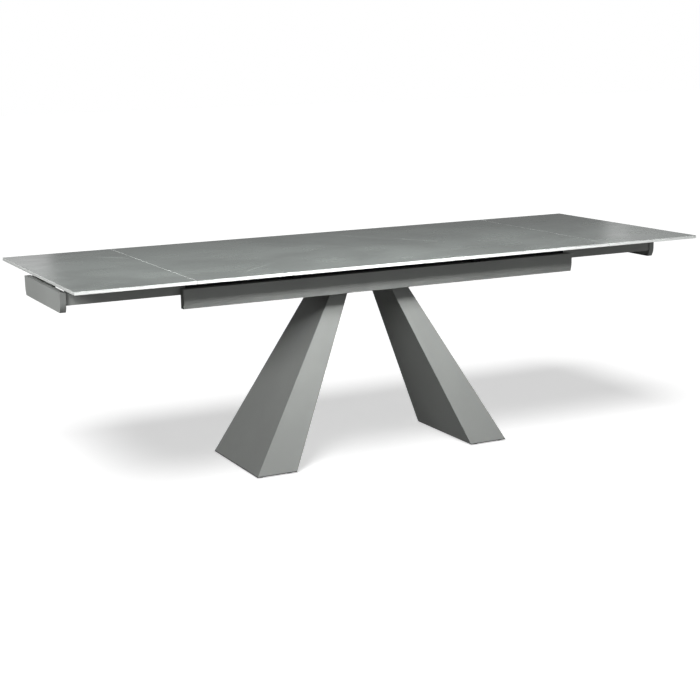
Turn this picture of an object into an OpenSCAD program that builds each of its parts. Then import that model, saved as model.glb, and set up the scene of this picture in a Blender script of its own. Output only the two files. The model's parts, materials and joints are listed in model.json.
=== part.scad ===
// Extendable dining table. A ceramic-on-glass top stands on two leaning sheet-steel legs, and a carriage
// slides out of each end to carry a leaf level with the main top. X runs along the length, the front is
// towards -Y, +Z is up, and the origin is on the floor under the middle of the table. Millimetres.

/* [Table top] */
// Height of the top surface above the floor
table_h = 760; // [755:1:775]
// Length of the fixed main top
main_l = 1600; // [1580:5:1660]
// Length that each leaf adds
leaf_l = 400; // [395:1:410]
// Width of the top, front to back
top_w = 900; // [800:10:1000]
// Thickness of the ceramic skin
ceramic_t = 3; // [3:0.5:5]
// Thickness of the glass under the ceramic
glass_t = 8; // [6:1:8]
// Gap between the main top and a leaf
seam = 1.2; // [1:0.1:2]

/* [Legs] */
// Nearest X of a foot, at the floor
foot_in = 361.5; // [340:0.5:380]
// Furthest X of a foot, at the floor
foot_out = 515.5; // [480:0.5:560]
// Half width of a foot, front to back, at the floor
foot_half = 206; // [190:1:230]
// Nearest X of a leg where it meets the frame
head_in = 78.5; // [74:0.5:82]
// Furthest X of a leg where it meets the frame
head_out = 146; // [130:0.5:150]
// Half width of a leg where it meets the frame
head_half = 84; // [70:1:86]
// Height of the top end of a leg
leg_top = 632; // [620:1:632]
// Thickness of the folded leg sheet, measured level
leg_wall = 3; // [2:0.5:4]
// Height of a floor glide
glide_h = 4; // [3:0.5:6]

/* [Frame] */
// Length of an apron with its end caps
apron_l = 1550; // [1540:2:1552]
// Distance of an apron's outer face from the middle
apron_out = 250; // [246:1:256]
// Depth of an apron, outer face to back
apron_d = 29; // [28:1:30]
// Height of an apron
apron_h = 67.5; // [64:0.5:68]
// How far the bottom edge of an apron is drawn in
apron_tuck = 7; // [4:1:18]
// Wall of the apron section
apron_wall = 2; // [1.5:0.5:2.5]
// Wall of the square and rectangular tubes
tube_wall = 2; // [1.5:0.5:3]
// Distance of a top bearer from the middle
bearer_x = 360; // [350:1:365]

/* [Carriages] */
// Travel of a carriage
travel = 400; // [380:1:400]
// Length of a rail
rail_l = 767.5; // [760:0.5:768]
// Height of a rail
rail_h = 43; // [42:0.5:43]
// Width of a rail
rail_w = 20; // [18:1:20]
// Outer face of an end panel, table extended
panel_x = 1182.5; // [1182:0.5:1183]
// Depth of an end panel
panel_d = 20.5; // [18:0.5:21]
// Height of an end panel
panel_h = 67.5; // [66:0.5:68]
// Half width of an end panel
panel_half = 219; // [218:0.5:219]
// How far the lower corners of an end panel are drawn in
panel_tuck = 12; // [4:1:16]
// Sheet of the end panel
panel_wall = 1.5; // [1:0.5:1.5]

/* [Leaf lift] */
// Distance of the outer lift shaft from the middle, table extended
lift_x = 1142; // [1136:1:1144]
// Spacing of the two lift shafts of a leaf
lift_span = 270; // [260:1:275]
// Radius of a lift shaft and of its top rod
lift_r = 6; // [5:0.5:6]
// Height of the lift shafts
lift_z = 700; // [699:1:701]

/* [Hidden] */
$fn = 48;
hair = 0.01;
steel_grey = [0.56, 0.57, 0.57];
dark_grey = [0.25, 0.26, 0.27];
black = [0.10, 0.10, 0.11];
ceramic_grey = [0.56, 0.59, 0.57];
white_glass = [0.93, 0.94, 0.93];
zinc = [0.70, 0.71, 0.72];

// Heights through the top
glass_top = table_h - ceramic_t;
glass_under = glass_top - glass_t;
disc_h = 4;
bearer_t = 6;
bearer_w = 60;
bearer_z = glass_under - disc_h - bearer_t;
bearer_half = 380;
disc_r = 25;
disc_ys = [-300, 0, 300];
half_main = main_l / 2 - seam / 2;
half_full = main_l / 2 + leaf_l;

// Frame heights, from the legs up
head_t = 6;
beam_size = 30;
beam_z = leg_top + head_t;
beam_y = 95;
beam_half = 715;
bar_t = 6;
bar_w = 60;
bar_z = beam_z + beam_size;
bar_xs = [300, 700];
channel_z = bar_z + bar_t;
channel_t = 3;
channel_half = 755;
channel_lip = 188;

// Aprons
apron_in = apron_out - apron_d;
apron_top = 702;
apron_z = apron_top - apron_h;
cap_t = 2;
post_y = 235;
post_w = 30;
post_d = 20;

// Rails and what guides them
rail_out = 214;
rail_in = rail_out - rail_w;
rail_z = 679;
rail_top = rail_z + rail_h;
rail_end = panel_x - panel_wall;
rail_start = rail_end - rail_l;
web = apron_in - channel_t;
channel_top = rail_top + 6;
run = 0.3;
slider_l = 40;
slider_cap = 2;
slider_in = rail_in - 3;
pad_l = 50;

// Carriage bars
carriage_bar_h = 20;
carriage_bar_w = 30;
carriage_bar_z = 682;
outer_bar_x = 1040;
inner_bar_x = 480;

// End panel
panel_top = 723.5;
panel_z = panel_top - panel_h;
screw_x = panel_x - panel_d / 2;

// Leaf lift
bumper_h = 2;
bumper_r = 10;
bumper_y = 150;
bumper_z = glass_under - bumper_h;
rod_z = bumper_z - 0.1 - lift_r;
arm_r = 9;
arm_t = 5;
arm_y = 150;
shaft_half = 200;
rod_half = 186;
crank = 20;
pin_r = 3;
link_r = 6;
link_half = 4;
link_y = 3;
pin_fit = 0.05;

// Bolts
m8 = 4;
m6 = 3;
slack = 0.2;
leg_bolt_xs = [66, 164];
glide_inset = 24;
glide_r = 14;

// ---------- shared shapes ----------

// Draws its children at the right end, or mirrored at the left end when side is -1
module at_end(side) {
  if (side < 0) mirror([1, 0, 0]) children();
  else children();
}

// Draws its children at the rear, or mirrored at the front when side is -1
module at_side(side) {
  if (side < 0) mirror([0, 1, 0]) children();
  else children();
}

module four_corners() {
  for (x = [-1, 1]) for (y = [-1, 1]) at_end(x) at_side(y) children();
}

// A block given by its lowest and highest corners
module block(lo, hi) {
  translate(lo) cube(hi - lo);
}

// A rectangular tube along X
module tube_x(lo, hi, wall) {
  difference() {
    block(lo, hi);
    block([lo.x - 1, lo.y + wall, lo.z + wall], [hi.x + 1, hi.y - wall, hi.z - wall]);
  }
}

// A rectangular tube along Y
module tube_y(lo, hi, wall) {
  difference() {
    block(lo, hi);
    block([lo.x + wall, lo.y - 1, lo.z + wall], [hi.x - wall, hi.y + 1, hi.z - wall]);
  }
}

// A round bar along Y
module rod_y(x, z, r, y0, y1) {
  translate([x, y0, z]) rotate([-90, 0, 0]) cylinder(r = r, h = y1 - y0);
}

module rod_z_at(x, y, r, z0, z1) {
  translate([x, y, z0]) cylinder(r = r, h = z1 - z0);
}

// Extrudes a YZ outline along X, from x0 to x1
module along_x(x0, x1) {
  translate([x0, 0, 0]) rotate([90, 0, 90]) linear_extrude(x1 - x0) children();
}

// Points of an arc that starts upright at (y, z) and tucks in by tuck over a drop; inset shrinks it
function tuck_arc(y, z, tuck, drop, inset, steps = 12) =
  let (sweep = 2 * atan(tuck / drop))
  let (r = drop / sin(sweep))
  let (last = asin((drop - inset) / (r - inset)))
  [for (i = [0 : steps]) [y - r + (r - inset) * cos(last * i / steps), z - (r - inset) * sin(last * i / steps)]];

// ---------- legs ----------

// Nearest X, furthest X and half width of a leg at height z
function leg_at(z, inset) =
  let (t = z / leg_top)
  [
    foot_in + (head_in - foot_in) * t + inset,
    foot_out + (head_out - foot_out) * t - inset,
    foot_half + (head_half - foot_half) * t - inset
  ];

// A slice of the leaning, tapering leg between two heights
module leg_slice(z0, z1, inset) {
  a = leg_at(z0, inset);
  b = leg_at(z1, inset);
  polyhedron(
    points = [
      [a[0], -a[2], z0], [a[1], -a[2], z0], [a[1], a[2], z0], [a[0], a[2], z0],
      [b[0], -b[2], z1], [b[1], -b[2], z1], [b[1], b[2], z1], [b[0], b[2], z1]
    ],
    faces = [[0, 1, 2, 3], [7, 6, 5, 4], [0, 4, 5, 1], [1, 5, 6, 2], [2, 6, 7, 3], [3, 7, 4, 0]]
  );
}

// Folded sheet-steel leg, open at both ends
module leg(side) {
  color(steel_grey) at_end(side) difference() {
    leg_slice(glide_h, leg_top, 0);
    leg_slice(glide_h - 1, leg_top + 1, leg_wall);
  }
}

// Draws its children at the four glides of one leg
module at_glides() {
  for (x = [foot_in + glide_inset, foot_out - glide_inset]) for (y = [-1, 1])
    translate([x, y * (foot_half - glide_inset), 0]) children();
}

// Plate welded into the bottom of a leg, tapped for the glides
module base_plate(side) {
  color(dark_grey) at_end(side) difference() {
    leg_slice(glide_h, glide_h + 8, leg_wall);
    at_glides() cylinder(r = m8 + pin_fit, h = 30);
  }
}

module floor_glides() {
  color(black) for (side = [-1, 1]) at_end(side) at_glides() {
    cylinder(r = glide_r, h = glide_h);
    cylinder(r = m8, h = 22);
  }
}

// Draws its children at the bolts that hold the head plates to the beams
module at_leg_bolts() {
  for (x = leg_bolt_xs) for (y = [-1, 1]) translate([x, y * beam_y, 0]) children();
}

// Plate welded on top of a leg
module head_plate(side) {
  color(dark_grey) at_end(side) difference() {
    block([54, -112, leg_top], [176, 112, leg_top + head_t]);
    at_leg_bolts() translate([0, 0, leg_top - 1]) cylinder(r = m8 + slack, h = head_t + 2);
  }
}

module leg_bolts() {
  color(zinc) for (side = [-1, 1]) at_end(side) at_leg_bolts() {
    translate([0, 0, leg_top - 5.5]) cylinder(r = 7, h = 5.5, $fn = 6);
    translate([0, 0, leg_top - 1]) cylinder(r = m8, h = 20);
    translate([0, 0, beam_z + tube_wall]) cylinder(r = 7, h = 6.5, $fn = 6);
  }
}

// ---------- frame ----------

// Long square tube on the head plates
module beam(side) {
  color(dark_grey) at_side(side) difference() {
    tube_x([-beam_half, beam_y - 15, beam_z], [beam_half, beam_y + 15, bar_z], tube_wall);
    for (end = [-1, 1]) for (x = leg_bolt_xs)
      rod_z_at(end * x, beam_y, m8 + slack, beam_z - 1, beam_z + tube_wall + 1);
  }
}

// Flat bar across the beams, which carries the aprons and guide channels
module cross_bar(x) {
  color(dark_grey) difference() {
    block([x - bar_w / 2, -apron_in, bar_z], [x + bar_w / 2, apron_in, channel_z]);
    for (y = [-1, 1]) rod_z_at(x, y * 200, m6 + slack, bar_z - 1, channel_z + 1);
  }
}

// Outline of an apron section in YZ, shrunk by inset
module apron_outline(inset) {
  fold_z = apron_z + apron_h / 2;
  polygon(concat(
    [[apron_in + inset, apron_z + inset], [apron_in + inset, apron_top - inset],
     [apron_out - inset, apron_top - inset]],
    tuck_arc(apron_out, fold_z, apron_tuck, fold_z - apron_z, inset)
  ));
}

// Long side rail seen under the top, a closed folded section
module apron(side) {
  color(steel_grey) at_side(side) difference() {
    along_x(-apron_l / 2 + cap_t, apron_l / 2 - cap_t) apron_outline(0);
    along_x(-apron_l / 2, apron_l / 2) apron_outline(apron_wall);
    for (end = [-1, 1]) {
      for (x = bar_xs) rod_y(end * x, bar_z - 18, m6 + slack, apron_in - 1, apron_in + apron_wall + 1);
      rod_z_at(end * bearer_x, post_y, m6 + slack, apron_top - apron_wall - 1, apron_top + 1);
    }
  }
}

module apron_end_caps() {
  color(steel_grey) four_corners() along_x(apron_l / 2 - cap_t, apron_l / 2) apron_outline(0);
}

// Angle that bolts an apron to the end of a cross bar
module apron_brackets() {
  color(dark_grey) four_corners() for (x = bar_xs) difference() {
    union() {
      block([x - 20, apron_in - 4, bar_z - 28], [x + 20, apron_in, bar_z]);
      block([x - 20, 185, bar_z - 4], [x + 20, apron_in - 4 + hair, bar_z]);
    }
    rod_y(x, bar_z - 18, m6 + slack, apron_in - 5, apron_in + 1);
    rod_z_at(x, 200, m6 + slack, bar_z - 5, bar_z + 1);
  }
}

module apron_bolts() {
  color(zinc) four_corners() for (x = bar_xs) {
    rod_y(x, bar_z - 18, 5, apron_in - 8, apron_in - 4);
    rod_y(x, bar_z - 18, m6, apron_in - 5, apron_in + 8);
    rod_z_at(x, 200, 5, bar_z - 8, bar_z - 4);
    rod_z_at(x, 200, m6, bar_z - 5, channel_z + channel_t);
  }
}

// C section in which two rails run, open towards the middle
module guide_channel(side) {
  color(dark_grey) at_side(side) difference() {
    block([-channel_half, channel_lip, channel_z], [channel_half, apron_in, channel_top]);
    block([-channel_half - 1, channel_lip - 1, channel_z + channel_t],
      [channel_half + 1, web, channel_top - channel_t]);
    for (end = [-1, 1]) for (x = bar_xs)
      rod_z_at(end * x, 200, m6 + slack, channel_z - 1, channel_z + channel_t + 1);
  }
}

// Nylon guides in the mouths of the channels
module guide_pads() {
  color(black) four_corners() difference() {
    block([channel_half - pad_l, slider_in, channel_z + channel_t],
      [channel_half, web, channel_top - channel_t]);
    block([channel_half - pad_l - 1, slider_in - 1, rail_z - run],
      [channel_half + 1, rail_out + run, rail_top + run]);
  }
}

// Rubber blocks between the two rails of a channel, met when the table is closed
module closing_stops() {
  color(black) for (side = [-1, 1]) at_side(side)
    block([-10, rail_in + 2, channel_z + channel_t], [10, web, channel_top - channel_t]);
}

// Blocks that hold back the rail sliders when the table is fully open
module extension_stops() {
  stop_x = rail_start + slider_l + 1;
  color(zinc) four_corners() block([stop_x, rail_out + run, 690], [stop_x + 14, web, 710]);
}

// ---------- main top ----------

// Flat bar under the main top
module top_bearer(side) {
  color(dark_grey) at_end(side) difference() {
    block([bearer_x - bearer_w / 2, -bearer_half, bearer_z],
      [bearer_x + bearer_w / 2, bearer_half, bearer_z + bearer_t]);
    for (y = disc_ys) rod_z_at(bearer_x, y, m6 + slack, bearer_z - 1, bearer_z + bearer_t + 1);
    for (y = [-1, 1]) rod_z_at(bearer_x, y * post_y, m6 + slack, bearer_z - 1, bearer_z + bearer_t + 1);
  }
}

// Short tubes that stand on the aprons and carry the bearers
module top_posts() {
  lo = [bearer_x - post_w / 2, post_y - post_d / 2, apron_top];
  hi = [bearer_x + post_w / 2, post_y + post_d / 2, bearer_z];
  color(dark_grey) four_corners() difference() {
    block(lo, hi);
    block([lo.x + tube_wall, lo.y + tube_wall, lo.z - 1], [hi.x - tube_wall, hi.y - tube_wall, hi.z + 1]);
  }
}

// Bolts through bearer, post and apron, with a nut inside the apron
module post_bolts() {
  color(zinc) four_corners() {
    rod_z_at(bearer_x, post_y, 5.5, bearer_z + bearer_t, bearer_z + bearer_t + 3);
    rod_z_at(bearer_x, post_y, m6, apron_top - 10, bearer_z + bearer_t + 1);
    rod_z_at(bearer_x, post_y, 5, apron_top - apron_wall - 5, apron_top - apron_wall);
  }
}

// Metal discs bonded to the underside of the glass
module bonding_discs() {
  color(zinc) for (end = [-1, 1]) for (y = disc_ys) difference() {
    rod_z_at(end * bearer_x, y, disc_r, bearer_z + bearer_t, glass_under);
    rod_z_at(end * bearer_x, y, m6 + pin_fit, bearer_z + bearer_t - 1, glass_under - 1);
  }
}

module disc_screws() {
  color(zinc) for (end = [-1, 1]) for (y = disc_ys) {
    rod_z_at(end * bearer_x, y, 5, bearer_z - 3, bearer_z);
    rod_z_at(end * bearer_x, y, m6, bearer_z - 1, glass_under - 1);
  }
}

module main_glass() {
  color(white_glass) block([-half_main, -top_w / 2, glass_under], [half_main, top_w / 2, glass_top]);
}

module main_ceramic() {
  color(ceramic_grey) block([-half_main, -top_w / 2, glass_top], [half_main, top_w / 2, table_h]);
}

// ---------- carriages ----------

// Outline of an end panel in YZ, shrunk by inset
module panel_outline(inset) {
  fold_z = panel_z + panel_h / 2;
  side_pts = tuck_arc(panel_half, fold_z, panel_tuck, fold_z - panel_z, inset);
  right_pts = concat([[panel_half - inset, panel_top - inset]], side_pts);
  left_pts = [for (i = [len(right_pts) - 1 : -1 : 0]) [-right_pts[i].x, right_pts[i].y]];
  polygon(concat(right_pts, left_pts));
}

// Folded tray that closes the end of a carriage, open towards the middle
module end_panel(side) {
  color(steel_grey) at_end(side) difference() {
    along_x(panel_x - panel_d, panel_x) panel_outline(0);
    along_x(panel_x - panel_d - 1, panel_x - panel_wall) panel_outline(panel_wall);
    at_panel_screws() translate([0, 0, panel_top - 3]) cylinder(r = 2 + pin_fit, h = 4);
  }
}

module at_panel_screws() {
  for (y = [-209, -199, 199, 209]) translate([screw_x, y, 0]) children();
}

module panel_screws(side) {
  color(zinc) at_end(side) at_panel_screws() {
    translate([0, 0, panel_top]) cylinder(r = 4, h = 1.5);
    translate([0, 0, panel_top - 6]) cylinder(r = 2, h = 7);
  }
}

// Tube that slides in a guide channel, with bores for the lift shafts in its inner wall
module rail(side, front_rear) {
  color(steel_grey) at_end(side) at_side(front_rear) difference() {
    tube_x([rail_start, rail_in, rail_z], [rail_end, rail_out, rail_top], tube_wall);
    for (x = [lift_x, lift_x - lift_span])
      rod_y(x, lift_z, lift_r + pin_fit, rail_in - 1, rail_in + tube_wall + 1);
    for (y = [199, 209]) rod_z_at(screw_x, y, 2 + pin_fit, rail_top - tube_wall - 1, rail_top + 1);
  }
}

// Tube between the two rails of a carriage
module carriage_bar(side, x) {
  color(dark_grey) at_end(side) tube_y(
    [x - carriage_bar_w / 2, -rail_in, carriage_bar_z],
    [x + carriage_bar_w / 2, rail_in, carriage_bar_z + carriage_bar_h], tube_wall);
}

// Nylon shoes on the inner ends of the rails
module rail_sliders(side) {
  color(black) at_end(side) for (s = [-1, 1]) at_side(s) difference() {
    block([rail_start - slider_cap, slider_in, channel_z + channel_t + run],
      [rail_start + slider_l, web - 2 * run, channel_top - channel_t - run]);
    block([rail_start, rail_in, rail_z], [rail_start + slider_l + 1, rail_out, rail_top]);
  }
}

// ---------- leaf lift ----------

// Flat arm in XZ that stands on a shaft, with its nose round a pin at height h
module arm(x, y0, t, h) {
  translate([x, y0 + t, lift_z]) rotate([90, 0, 0]) linear_extrude(t) {
    circle(r = arm_r);
    translate([-lift_r, 0]) square([2 * lift_r, h]);
    translate([0, h]) circle(r = lift_r);
  }
}

// Shaft with two arms, a top rod and a short crank for the link
module lift(side, x) {
  color(dark_grey) at_end(side) {
    rod_y(x, lift_z, lift_r, -shaft_half, shaft_half);
    rod_y(x, rod_z, lift_r, -rod_half, rod_half);
    for (y = [-arm_y, arm_y]) arm(x, y - arm_t / 2, arm_t, rod_z - lift_z);
    arm(x, -arm_t / 2, arm_t, crank);
    rod_y(x, lift_z + crank, pin_r, 0, link_y + arm_t + 1);
  }
}

// Flat link that makes the two lifts of a leaf swing together
module lift_link(side) {
  color(dark_grey) at_end(side) difference() {
    translate([lift_x, link_y + arm_t, lift_z + crank]) rotate([90, 0, 0]) linear_extrude(arm_t) {
      circle(r = link_r);
      translate([-lift_span, 0]) circle(r = link_r);
      translate([-lift_span, -link_half]) square([lift_span, 2 * link_half]);
    }
    for (x = [lift_x, lift_x - lift_span]) rod_y(x, lift_z + crank, pin_r + pin_fit, 0, 20);
  }
}

// ---------- leaves ----------

module leaf_slab(side, z0, z1) {
  at_end(side) block([main_l / 2 + seam / 2, -top_w / 2, z0], [half_full, top_w / 2, z1]);
}

module leaf_glass(side) {
  color(white_glass) leaf_slab(side, glass_under, glass_top);
}

module leaf_ceramic(side) {
  color(ceramic_grey) leaf_slab(side, glass_top, table_h);
}

// Clear pads on the underside of a leaf, over the lifts
module leaf_bumpers(side) {
  color(black) at_end(side) for (x = [lift_x, lift_x - lift_span]) for (y = [-bumper_y, bumper_y])
    rod_z_at(x, y, bumper_r, bumper_z, glass_under);
}

leg(-1);  // left_leg
leg(1);  // right_leg
base_plate(-1);  // left_base_plate
base_plate(1);  // right_base_plate
floor_glides();
head_plate(-1);  // left_head_plate
head_plate(1);  // right_head_plate
leg_bolts();
beam(-1);  // front_beam
beam(1);  // rear_beam
cross_bar(-bar_xs[1]);  // left_end_cross_bar
cross_bar(-bar_xs[0]);  // left_cross_bar
cross_bar(bar_xs[0]);  // right_cross_bar
cross_bar(bar_xs[1]);  // right_end_cross_bar
apron(-1);  // front_apron
apron(1);  // rear_apron
apron_end_caps();
apron_brackets();
apron_bolts();
guide_channel(-1);  // front_guide_channel
guide_channel(1);  // rear_guide_channel
guide_pads();
closing_stops();
extension_stops();
top_bearer(-1);  // left_top_bearer
top_bearer(1);  // right_top_bearer
top_posts();
post_bolts();
bonding_discs();
disc_screws();
main_glass();
main_ceramic();
end_panel(-1);  // left_end_panel
rail(-1, -1);  // left_front_rail
rail(-1, 1);  // left_rear_rail
carriage_bar(-1, outer_bar_x);  // left_outer_bar
carriage_bar(-1, inner_bar_x);  // left_inner_bar
rail_sliders(-1);  // left_rail_sliders
panel_screws(-1);  // left_panel_screws
end_panel(1);  // right_end_panel
rail(1, -1);  // right_front_rail
rail(1, 1);  // right_rear_rail
carriage_bar(1, outer_bar_x);  // right_outer_bar
carriage_bar(1, inner_bar_x);  // right_inner_bar
rail_sliders(1);  // right_rail_sliders
panel_screws(1);  // right_panel_screws
lift(-1, lift_x);  // left_outer_lift
lift(-1, lift_x - lift_span);  // left_inner_lift
lift_link(-1);  // left_lift_link
lift(1, lift_x);  // right_outer_lift
lift(1, lift_x - lift_span);  // right_inner_lift
lift_link(1);  // right_lift_link
leaf_glass(-1);  // left_leaf_glass
leaf_ceramic(-1);  // left_leaf_ceramic
leaf_bumpers(-1);  // left_leaf_bumpers
leaf_glass(1);  // right_leaf_glass
leaf_ceramic(1);  // right_leaf_ceramic
leaf_bumpers(1);  // right_leaf_bumpers
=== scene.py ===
"""Extendable dining table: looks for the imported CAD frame. Metres, +X along the table, front towards -Y."""

import json
import math
import bpy
from mathutils import Matrix, Vector


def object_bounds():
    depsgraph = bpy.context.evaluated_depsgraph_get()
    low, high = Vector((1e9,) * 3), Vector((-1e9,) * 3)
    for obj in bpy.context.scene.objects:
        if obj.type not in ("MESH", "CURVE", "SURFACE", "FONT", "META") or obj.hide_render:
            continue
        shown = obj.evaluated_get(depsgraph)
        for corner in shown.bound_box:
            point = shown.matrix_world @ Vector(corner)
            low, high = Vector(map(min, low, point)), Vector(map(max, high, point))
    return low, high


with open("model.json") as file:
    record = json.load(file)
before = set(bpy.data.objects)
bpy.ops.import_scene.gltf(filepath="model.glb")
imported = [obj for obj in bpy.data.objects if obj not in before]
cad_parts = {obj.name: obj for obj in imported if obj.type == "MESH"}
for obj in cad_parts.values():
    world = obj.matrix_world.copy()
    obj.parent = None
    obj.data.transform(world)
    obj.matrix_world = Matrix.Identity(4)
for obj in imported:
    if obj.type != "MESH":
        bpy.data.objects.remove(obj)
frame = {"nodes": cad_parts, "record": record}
cad_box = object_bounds()
nodes = frame["nodes"]

TABLE_TOP = cad_box[1].z


# ---------- camera ----------

CAMERA_AT = Vector((-2.434, -4.814, 1.483))
CAMERA_YAW = math.radians(26.59)
CAMERA_DOWN = math.radians(11.65)
CAMERA_ROLL = math.radians(-1.025)
SENSOR = 36.0
FOCAL = 76.03
SHIFT_X = -0.0054
CLIP_START = 0.05
CLIP_END = 200


def make_camera():
    """A camera that looks along +Y, turned towards +X by CAMERA_YAW and down by CAMERA_DOWN."""
    data = bpy.data.cameras.new("camera")
    data.sensor_width = SENSOR
    data.lens = FOCAL
    data.shift_x = SHIFT_X
    data.dof.use_dof = False
    data.clip_start = CLIP_START
    data.clip_end = CLIP_END
    camera = bpy.data.objects.new("camera", data)
    bpy.context.scene.collection.objects.link(camera)
    turn = Matrix.Rotation(-CAMERA_YAW, 4, "Z")
    tilt = Matrix.Rotation(math.pi / 2 - CAMERA_DOWN, 4, "X")
    roll = Matrix.Rotation(CAMERA_ROLL, 4, "Z")
    camera.matrix_world = Matrix.Translation(CAMERA_AT) @ turn @ tilt @ roll
    bpy.context.scene.camera = camera


# ---------- material helpers ----------

# Places of the sockets in a Mix node for colours and in a Vector Math node
MIX_SHARE, MIX_A, MIX_B, MIX_RESULT = 0, 6, 7, 2
VECTOR_OUT, NUMBER_OUT = 0, 1


class Shader:
    """A Principled material with object coordinates, and short calls for the nodes it uses."""

    def __init__(self, name, roughness, metallic=0.0, specular=0.5):
        self.material = bpy.data.materials.new(name)
        self.material.use_nodes = True
        self.tree = self.material.node_tree
        self.bsdf = self.tree.nodes["Principled BSDF"]
        self.bsdf.inputs["Roughness"].default_value = roughness
        self.bsdf.inputs["Metallic"].default_value = metallic
        self.bsdf.inputs["Specular IOR Level"].default_value = specular
        self.coords = self.add("ShaderNodeTexCoord").outputs["Object"]

    def add(self, kind, **settings):
        made = self.tree.nodes.new(kind)
        for key, value in settings.items():
            setattr(made, key, value)
        return made

    def put(self, value, socket):
        """Sets a socket to a number, a vector or a colour, or links an output to it."""
        if isinstance(value, bpy.types.NodeSocket):
            self.tree.links.new(value, socket)
        else:
            socket.default_value = value

    def noise(self, scale, detail, rough=0.5, vector=None, distortion=0.0, output="Fac"):
        made = self.add("ShaderNodeTexNoise")
        self.put(vector or self.coords, made.inputs["Vector"])
        made.inputs["Scale"].default_value = scale
        made.inputs["Detail"].default_value = detail
        made.inputs["Roughness"].default_value = rough
        made.inputs["Distortion"].default_value = distortion
        return made.outputs[output]

    def math(self, operation, first, second, clamp=False):
        made = self.add("ShaderNodeMath", operation=operation, use_clamp=clamp)
        self.put(first, made.inputs[0])
        self.put(second, made.inputs[1])
        return made.outputs[0]

    def vector(self, operation, first, second=(0, 0, 0), output=VECTOR_OUT):
        made = self.add("ShaderNodeVectorMath", operation=operation)
        self.put(first, made.inputs[0])
        self.put(second, made.inputs[1])
        return made.outputs[output]

    def scaled(self, vector, share):
        made = self.add("ShaderNodeVectorMath", operation="SCALE")
        self.put(vector, made.inputs[0])
        self.put(share, made.inputs["Scale"])
        return made.outputs[VECTOR_OUT]

    def up(self, vector):
        """The Z part of a vector."""
        made = self.add("ShaderNodeSeparateXYZ")
        self.put(vector, made.inputs[0])
        return made.outputs["Z"]

    def spread(self, value, low, high, to_low=0.0, to_high=1.0):
        """Maps value from low..high to to_low..to_high, smoothly and clamped."""
        made = self.add("ShaderNodeMapRange", interpolation_type="SMOOTHSTEP")
        for socket, number in zip(made.inputs[:5], (value, low, high, to_low, to_high)):
            self.put(number, socket)
        return made.outputs[0]

    def mix(self, share, first, second):
        made = self.add("ShaderNodeMix", data_type="RGBA")
        self.put(share, made.inputs[MIX_SHARE])
        self.put(first, made.inputs[MIX_A])
        self.put(second, made.inputs[MIX_B])
        return made.outputs[MIX_RESULT]

    def bump(self, height, distance, strength, under=None):
        """A bump of at most distance metres, on top of the one under it."""
        made = self.add("ShaderNodeBump")
        made.inputs["Strength"].default_value = strength
        made.inputs["Distance"].default_value = distance
        self.put(height, made.inputs["Height"])
        if under:
            self.put(under, made.inputs["Normal"])
        return made.outputs[0]

    def finish(self, colour, roughness=None, normal=None):
        """Gives the shader its colour, roughness and normal, and returns the material."""
        for key, value in (("Base Color", colour), ("Roughness", roughness), ("Normal", normal)):
            if value is not None:
                self.put(value, self.bsdf.inputs[key])
        return self.material


# Tints: the red, green and blue share of a grey
PLAIN = (1.0, 1.0, 1.0)
CERAMIC_TINT = (0.90, 1.0, 0.945)
WHITE_TINT = (0.97, 1.0, 0.975)
CLEAR_TINT = (0.975, 1.0, 0.98)
COAT_TINT = (0.965, 1.0, 0.965)
BLACK_TINT = (1.0, 1.0, 1.03)
DUST_TINT = (1.0, 0.98, 0.94)


def grey(level, tint=PLAIN):
    return (level * tint[0], level * tint[1], level * tint[2], 1.0)


# ---------- materials ----------

# Pale veins in the ceramic: start and end on the top, half width, all in metres, and strength
VEINS = [
    ((0.03, 0.40), (0.32, -0.06), 0.0025, 0.42),
    ((-0.16, 0.12), (-0.03, 0.03), 0.0025, 0.30),
    ((-0.92, 0.28), (-0.82, 0.18), 0.0025, 0.35),
    ((-0.62, -0.40), (-0.40, -0.16), 0.0020, 0.16),
    ((0.62, -0.36), (0.90, -0.22), 0.0020, 0.18),
]
VEIN_BEND = 0.10
SPECKLE_SHARE = 0.03


def vein(shader, bent, start, end, half_width, strength):
    """How pale a thin line from start to end is, in coordinates that noise has already bent."""
    origin = Vector((*start, 0))
    run = Vector((*end, 0)) - origin
    from_start = shader.vector("SUBTRACT", bent, tuple(origin))
    reached = shader.vector("DOT_PRODUCT", from_start, tuple(run), NUMBER_OUT)
    along = shader.math("DIVIDE", reached, run.length_squared, clamp=True)
    offset = shader.vector("SUBTRACT", from_start, shader.scaled(tuple(run), along))
    away = shader.vector("LENGTH", offset, output=NUMBER_OUT)
    left = shader.math("SUBTRACT", 1.0, along)
    thinned = shader.math("MULTIPLY", left, shader.math("MULTIPLY", along, 4.0))
    line = shader.spread(away, half_width, half_width * 3, 1.0, 0.0)
    return shader.math("MULTIPLY", shader.math("MULTIPLY", line, thinned), strength)


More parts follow.
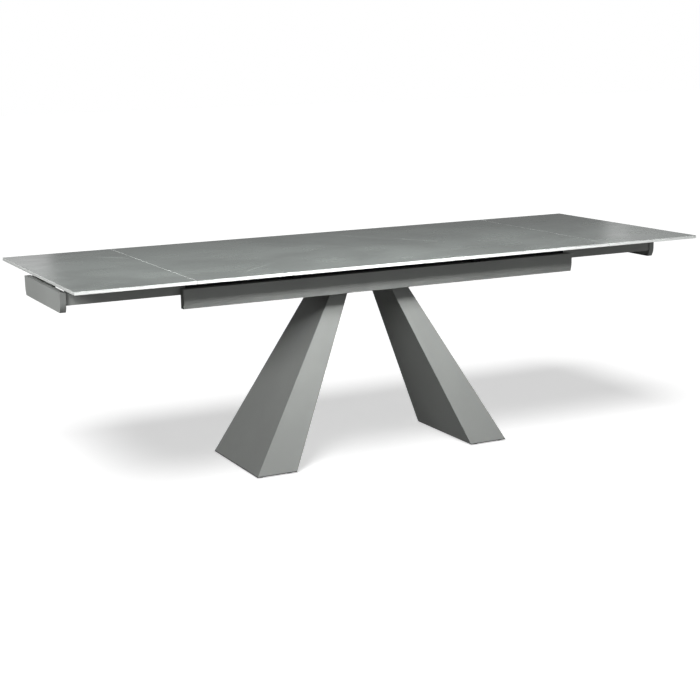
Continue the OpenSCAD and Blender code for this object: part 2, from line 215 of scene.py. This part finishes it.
def ceramic():
    """Grey fired ceramic with soft clouds, fine speckle and a few thin pale veins; its cut edge is pale."""
    shader = Shader("ceramic_top", roughness=0.3)
    flat = shader.vector("MULTIPLY", shader.coords, (1, 1, 0))
    stretched = shader.vector("MULTIPLY", flat, (0.6, 1.2, 1))
    clouds = shader.noise(scale=2.6, detail=4.0, vector=flat, distortion=0.6)
    patches = shader.noise(scale=8.0, detail=3.0, vector=stretched, distortion=0.5)
    speckle = shader.noise(scale=420.0, detail=2.0, rough=0.6)

    tone = shader.math("ADD", shader.math("MULTIPLY", clouds, 0.65), shader.math("MULTIPLY", patches, 0.35))
    dark, light = grey(0.096, CERAMIC_TINT), grey(0.132, CERAMIC_TINT)
    base = shader.mix(shader.spread(tone, 0.36, 0.64), dark, light)
    pale_specks = shader.spread(speckle, 0.62, 0.78, 0.0, SPECKLE_SHARE)
    base = shader.mix(pale_specks, base, grey(0.20, CERAMIC_TINT))
    dark_specks = shader.spread(speckle, 0.38, 0.24, 0.0, SPECKLE_SHARE)
    base = shader.mix(dark_specks, base, grey(0.06, CERAMIC_TINT))

    drift = shader.noise(scale=3.2, detail=2.0, vector=flat, output="Color")
    drift = shader.vector("SUBTRACT", drift, (0.5, 0.5, 0.5))
    bent = shader.vector("ADD", flat, shader.vector("MULTIPLY", drift, (VEIN_BEND, VEIN_BEND, 0)))
    pale = 0.0
    for row in VEINS:
        pale = shader.math("MAXIMUM", pale, vein(shader, bent, *row))
    pale = shader.math("MULTIPLY", pale, shader.spread(patches, 0.35, 0.6, 0.35, 0.9))
    base = shader.mix(pale, base, grey(0.42, CERAMIC_TINT))

    normal = shader.add("ShaderNodeNewGeometry").outputs["Normal"]
    edge = shader.spread(shader.up(normal), 0.8, 0.3)
    base = shader.mix(edge, base, grey(0.78, WHITE_TINT))
    rough = shader.spread(patches, 0.3, 0.7, 0.22, 0.28)
    return shader.finish(base, rough, shader.bump(speckle, distance=0.00001, strength=0.1))


def white_glass():
    """White glass with a satin cut edge and a slight green depth."""
    shader = Shader("white_glass", roughness=0.22)
    shader.bsdf.inputs["Coat Weight"].default_value = 0.3
    shader.bsdf.inputs["Coat Roughness"].default_value = 0.1
    drift = shader.noise(scale=6.0, detail=3.0)
    base = shader.mix(drift, grey(0.76, WHITE_TINT), grey(0.80, CLEAR_TINT))
    rough = shader.spread(drift, 0.3, 0.7, 0.2, 0.3)
    grind = shader.noise(scale=900.0, detail=2.0)
    return shader.finish(base, rough, shader.bump(grind, distance=0.00003, strength=0.4))


# Heights above the floor, in metres: dust fades out upwards, and a painted contact shadow darkens the lowest
# edge
DUST_TOP = 0.06
DUST_SHARE = 0.12
PAINTED_SHADOW_TOP = 0.008
PAINTED_SHADOW_FULL = 0.006


def powder_coat(name, level, roughness, tint=COAT_TINT):
    """Powder-coated steel: fine orange peel, slight drift of tone, dust, and a painted contact shadow along
    the lowest edge.
    """
    shader = Shader(name, roughness, specular=0.12)
    drift = shader.noise(scale=3.0, detail=4.0, rough=0.6)
    fleck = shader.noise(scale=1400.0, detail=2.0, rough=0.7)
    peel = shader.noise(scale=520.0, detail=3.0, rough=0.55)
    wave = shader.noise(scale=28.0, detail=2.0, rough=0.4)

    dark, light = grey(level * 0.96, tint), grey(level * 1.04, tint)
    base = shader.mix(shader.spread(drift, 0.35, 0.65), dark, light)
    base = shader.mix(shader.spread(fleck, 0.6, 0.75, 0.0, 0.3), base, grey(level * 1.25, tint))
    base = shader.mix(shader.spread(fleck, 0.4, 0.28, 0.0, 0.3), base, grey(level * 0.75, tint))

    height = shader.up(shader.coords)
    dust = shader.math("MULTIPLY", shader.spread(height, DUST_TOP, 0.0, 0.0, DUST_SHARE), drift)
    base = shader.mix(dust, base, grey(0.42, DUST_TINT))
    # Painted contact shadow: the lowest few millimetres turn near black, standing in for the shaded gap under
    # the feet
    base = shader.mix(shader.spread(height, PAINTED_SHADOW_TOP, PAINTED_SHADOW_FULL), base, grey(0.03))
    rough = shader.spread(drift, 0.3, 0.7, roughness - 0.05, roughness + 0.05)
    under = shader.bump(wave, distance=0.0006, strength=0.12)
    return shader.finish(base, rough, shader.bump(peel, 0.00012, 0.6, under))


def plated():
    """Zinc-plated steel with cloudy patches and drawing lines."""
    shader = Shader("zinc", roughness=0.35, metallic=1.0)
    patch = shader.noise(scale=60.0, detail=4.0, rough=0.6)
    squeezed = shader.vector("MULTIPLY", shader.coords, (1, 1, 12))
    lines = shader.noise(scale=240.0, detail=2.0, vector=squeezed)
    base = shader.mix(patch, (0.52, 0.53, 0.54, 1), (0.68, 0.68, 0.66, 1))
    rough = shader.spread(patch, 0.3, 0.7, 0.28, 0.42)
    return shader.finish(base, rough, shader.bump(lines, distance=0.0001, strength=0.3))


def moulded(name, level, roughness, grain):
    """Moulded nylon or rubber with a fine grain, grain metres deep."""
    shader = Shader(name, roughness)
    grains = shader.noise(scale=1800.0, detail=3.0, rough=0.6)
    drift = shader.noise(scale=25.0, detail=3.0)
    base = shader.mix(drift, grey(level * 0.8), grey(level * 1.3, BLACK_TINT))
    rough = shader.spread(drift, 0.3, 0.7, roughness - 0.06, roughness + 0.06)
    return shader.finish(base, rough, shader.bump(grains, distance=grain, strength=0.6))


MATERIALS = {
    "ceramic_top": ceramic(),
    "white_glass": white_glass(),
    # leg_steel and frame_steel are one grey paint; the frame's copy is set lighter as painted light, making
    # up for light its aprons, rails and end panels lack
    "leg_steel": powder_coat("leg_steel", level=0.345, roughness=0.42),
    "frame_steel": powder_coat("frame_steel", level=0.37, roughness=0.40),
    "inner_steel": powder_coat("inner_steel", level=0.022, roughness=0.5, tint=BLACK_TINT),
    "zinc": plated(),
    "nylon": moulded("nylon", level=0.02, roughness=0.45, grain=0.00005),
    "rubber": moulded("rubber", level=0.018, roughness=0.75, grain=0.0001),
}
SLOT_OF = {row["node"]: row["material_slot"] for row in frame["record"]["subparts"]}


# ---------- CAD nodes ----------

# Width of the rounding of the edges, in metres, by material slot, and by node for thin sheets
ROUNDING = {
    "ceramic_top": 0.0008,
    "white_glass": 0.0008,
    "leg_steel": 0.0015,
    "frame_steel": 0.0012,
    "inner_steel": 0.0008,
    "zinc": 0.0004,
    "nylon": 0.0005,
    "rubber": 0.0008,
}
THIN_ROUNDING = {"left_end_panel": 0.0006, "right_end_panel": 0.0006, "apron_end_caps": 0.0007}
ROUNDING_STEPS = 3
SHARP_ANGLE = math.radians(40)
FLAT_ANGLE = math.radians(0.5)
WELD_DISTANCE = 0.00002


def dress(name):
    """Gives a CAD node its material and rounded edges."""
    node = nodes[name]
    slot = SLOT_OF[name]
    node.data.materials.clear()
    node.data.materials.append(MATERIALS[slot])
    weld = node.modifiers.new("weld", "WELD")
    weld.merge_threshold = WELD_DISTANCE
    flat = node.modifiers.new("flat", "DECIMATE")
    flat.decimate_type = "DISSOLVE"
    flat.angle_limit = FLAT_ANGLE
    bevel = node.modifiers.new("rounded", "BEVEL")
    bevel.width = THIN_ROUNDING.get(name, ROUNDING[slot])
    bevel.segments = ROUNDING_STEPS
    bevel.limit_method = "ANGLE"
    bevel.angle_limit = SHARP_ANGLE
    bevel.use_clamp_overlap = True
    smooth = node.modifiers.new("shading", "WEIGHTED_NORMAL")
    smooth.keep_sharp = False
    smooth.weight = 100


# ---------- surroundings ----------

FLOOR_SIDE = 60.0
FLOOR_GLOW = 0.59
FLOOR_AT = -0.0004

# Strength of the world for soft light from the front and from elsewhere, and in reflections below and above
SOFT_FRONT = 0.58
SOFT_ROUND = 0.03
MIRRORED_FLOOR = 0.06
MIRRORED_ROOM = 0.28

# Parts of a direction along Y, and along Z, between which the world goes from one strength to the other
FRONT_TO_ROUND = (-0.97, -0.5)
FLOOR_TO_ROOM = (-0.15, 0.05)


def make_floor():
    """A white floor that glows a little, so that only the soft shadow under the table is grey."""
    mesh = bpy.data.meshes.new("floor")
    half = FLOOR_SIDE / 2
    corners = [(-half, -half, 0), (half, -half, 0), (half, half, 0), (-half, half, 0)]
    mesh.from_pydata(corners, [], [(0, 1, 2, 3)])
    floor = bpy.data.objects.new("floor", mesh)
    bpy.context.scene.collection.objects.link(floor)
    shader = Shader("floor", roughness=0.9, specular=0.0)
    shader.bsdf.inputs["Emission Color"].default_value = grey(1.0)
    shader.bsdf.inputs["Emission Strength"].default_value = FLOOR_GLOW
    drift = shader.noise(scale=0.7, detail=2.0)
    floor.data.materials.append(shader.finish(shader.mix(drift, grey(0.80), grey(0.81))))
    floor.visible_diffuse = False
    floor.visible_glossy = False
    floor.location.z = FLOOR_AT
    return floor


def make_world():
    """White where the camera looks past the table, a dim room for soft light, brighter in reflections."""
    world = bpy.data.worlds.new("studio")
    bpy.context.scene.world = world
    world.use_nodes = True
    tree = world.node_tree
    tree.nodes.clear()
    coords = tree.nodes.new("ShaderNodeTexCoord")
    split = tree.nodes.new("ShaderNodeSeparateXYZ")
    tree.links.new(coords.outputs["Generated"], split.inputs[0])

    def white():
        made = tree.nodes.new("ShaderNodeBackground")
        made.inputs["Color"].default_value = grey(1.0)
        return made

    def ramp(source, stops):
        made = tree.nodes.new("ShaderNodeMapRange")
        made.interpolation_type = "SMOOTHSTEP"
        tree.links.new(source, made.inputs["Value"])
        for socket, value in zip(list(made.inputs)[1:5], stops):
            socket.default_value = value
        shade = white()
        tree.links.new(made.outputs[0], shade.inputs["Strength"])
        return shade.outputs[0]

    def choose(share, no, yes):
        made = tree.nodes.new("ShaderNodeMixShader")
        for socket, source in zip(made.inputs, (share, no, yes)):
            tree.links.new(source, socket)
        return made.outputs[0]

    soft = ramp(split.outputs["Y"], (*FRONT_TO_ROUND, SOFT_FRONT, SOFT_ROUND))
    mirrored = ramp(split.outputs["Z"], (*FLOOR_TO_ROOM, MIRRORED_FLOOR, MIRRORED_ROOM))
    rays = tree.nodes.new("ShaderNodeLightPath").outputs
    shade = choose(rays["Is Glossy Ray"], soft, mirrored)
    shade = choose(rays["Is Camera Ray"], shade, white().outputs[0])
    out = tree.nodes.new("ShaderNodeOutputWorld")
    tree.links.new(shade, out.inputs["Surface"])


# ---------- lights ----------

# Lamps that light the table but not the floor: place, target, size and watts
LAMPS = {
    "key": ((-0.15, -1.28, 1.2), (-0.15, -0.15, 1.15), (0.9, 0.22), 23.5),
    "left": ((-8.0, -3.2, 3.73), (-0.4, 0, 0.35), (2.6, 0.7), 92),
    "left_front": ((-6.5, -5.0, 3.9), (-0.4, 0, 0.35), (2.4, 0.9), 140),
    "left_high": ((-4.1, -1.5, 3.2), (-1.0, -0.3, 0.6), (0.5, 0.5), 122),
    "rear": ((0.6, 4.6, 1.0), (0, 0, 0.45), (2.6, 1.0), 190),
    "right": ((5.4, 0.9, 1.0), (0.4, 0, 0.45), (2.0, 1.0), 150),
}
NOT_ON_LEGS = ["left_high"]
LEGS = ["left_leg", "right_leg"]

# A row of long lamps over the front half of the top, stronger towards the left
TOP_LIGHTS_X = (-0.9, 0.0, 0.9)
TOP_LIGHTS_Y = -0.40
TOP_LIGHTS_Z = 1.55
TOP_LIGHTS_SIZE = (1.0, 0.08)
TOP_LIGHTS_WATTS = 8
TOP_LIGHTS_FALL = 2
TOP_LIGHTS_INWARD = 0.8
TOP_LIGHTS_AIM_Y = -0.3

# The light that only the floor gets
FLOOR_LIGHT_FROM = (-0.48, -0.62, 1.0)
FLOOR_LIGHT_STRENGTH = 2.2
FLOOR_LIGHT_ANGLE = math.radians(24)

# Standing panels that only reflections show, seen from the camera's place: two directions in degrees from +Y
# towards +X, and radiance
PANELS = {
    "left_panel": (4.0, 15.0, 0.66),
    "bright_strip": (36.4, 37.3, 0.5),
    "right_panel": (37.3, 52.0, 0.26),
}
PANEL_DISTANCE = 9.0
PANEL_HEIGHT = 4.0


def link_light(light, objects, state):
    """Lets a light shine on these objects only (INCLUDE), or on everything but them (EXCLUDE)."""
    reach = bpy.data.collections.new(light.name + "_reach")
    for thing in objects:
        reach.objects.link(thing)
    for row in reach.collection_objects:
        row.light_linking.link_state = state
    light.light_linking.receiver_collection = reach


def add_light(data, at, target):
    light = bpy.data.objects.new(data.name, data)
    bpy.context.scene.collection.objects.link(light)
    aim = (Vector(target) - Vector(at)).normalized()
    light.matrix_world = Matrix.Translation(at) @ aim.to_track_quat("-Z", "Y").to_matrix().to_4x4()
    light.visible_camera = False
    return light


def area_light(unlit, name, at, target, size, watts):
    """A soft box that reflections don't show. It doesn't reach the unlit objects."""
    data = bpy.data.lights.new(name, "AREA")
    data.shape = "RECTANGLE"
    data.size, data.size_y = size
    data.energy = watts
    # A ray that meets a small strong lamp by chance would leave a white pixel
    data.cycles.use_multiple_importance_sampling = False
    light = add_light(data, at, target)
    light.visible_glossy = False
    link_light(light, unlit, "EXCLUDE")
    return light


def reflected_panel(floor, name, turn_low, turn_high, radiance):
    """A standing panel that only reflections show, between two directions."""
    middle = math.radians((turn_low + turn_high) / 2)
    width = PANEL_DISTANCE * math.radians(turn_high - turn_low)
    at = CAMERA_AT + PANEL_DISTANCE * Vector((math.sin(middle), math.cos(middle), 0))
    at.z = PANEL_HEIGHT / 2
    target = Vector((CAMERA_AT.x, CAMERA_AT.y, at.z))
    watts = radiance * math.pi * width * PANEL_HEIGHT
    panel = area_light([floor], name, at, target, (width, PANEL_HEIGHT), watts)
    panel.data.cycles.use_multiple_importance_sampling = True
    panel.visible_diffuse = False
    panel.visible_glossy = True


def floor_light(floor):
    """A broad even light from above the front."""
    data = bpy.data.lights.new("floor_light", "SUN")
    data.energy = FLOOR_LIGHT_STRENGTH
    data.angle = FLOOR_LIGHT_ANGLE
    light = add_light(data, FLOOR_LIGHT_FROM, (0, 0, 0))
    link_light(light, [floor], "INCLUDE")


def make_lights(floor):
    legs = [nodes[name] for name in LEGS]
    for name, lamp in LAMPS.items():
        unlit = [floor, *legs] if name in NOT_ON_LEGS else [floor]
        area_light(unlit, name, *lamp)
    for x in TOP_LIGHTS_X:
        at = (x, TOP_LIGHTS_Y, TOP_LIGHTS_Z)
        target = (x * TOP_LIGHTS_INWARD, TOP_LIGHTS_AIM_Y, TABLE_TOP)
        watts = TOP_LIGHTS_WATTS - TOP_LIGHTS_FALL * x
        area_light([floor], "top_light", at, target, TOP_LIGHTS_SIZE, watts)
    floor_light(floor)
    for name, panel in PANELS.items():
        reflected_panel(floor, name, *panel)


# ---------- scene ----------

# The most that one sample may add, which limits stray bright pixels
CLAMP_DIRECT = 12.0
CLAMP_INDIRECT = 3.0

make_camera()
for name in nodes:
    dress(name)
floor = make_floor()
make_world()
make_lights(floor)
bpy.context.scene.view_settings.view_transform = "Standard"
bpy.context.scene.cycles.sample_clamp_direct = CLAMP_DIRECT
bpy.context.scene.cycles.sample_clamp_indirect = CLAMP_INDIRECT
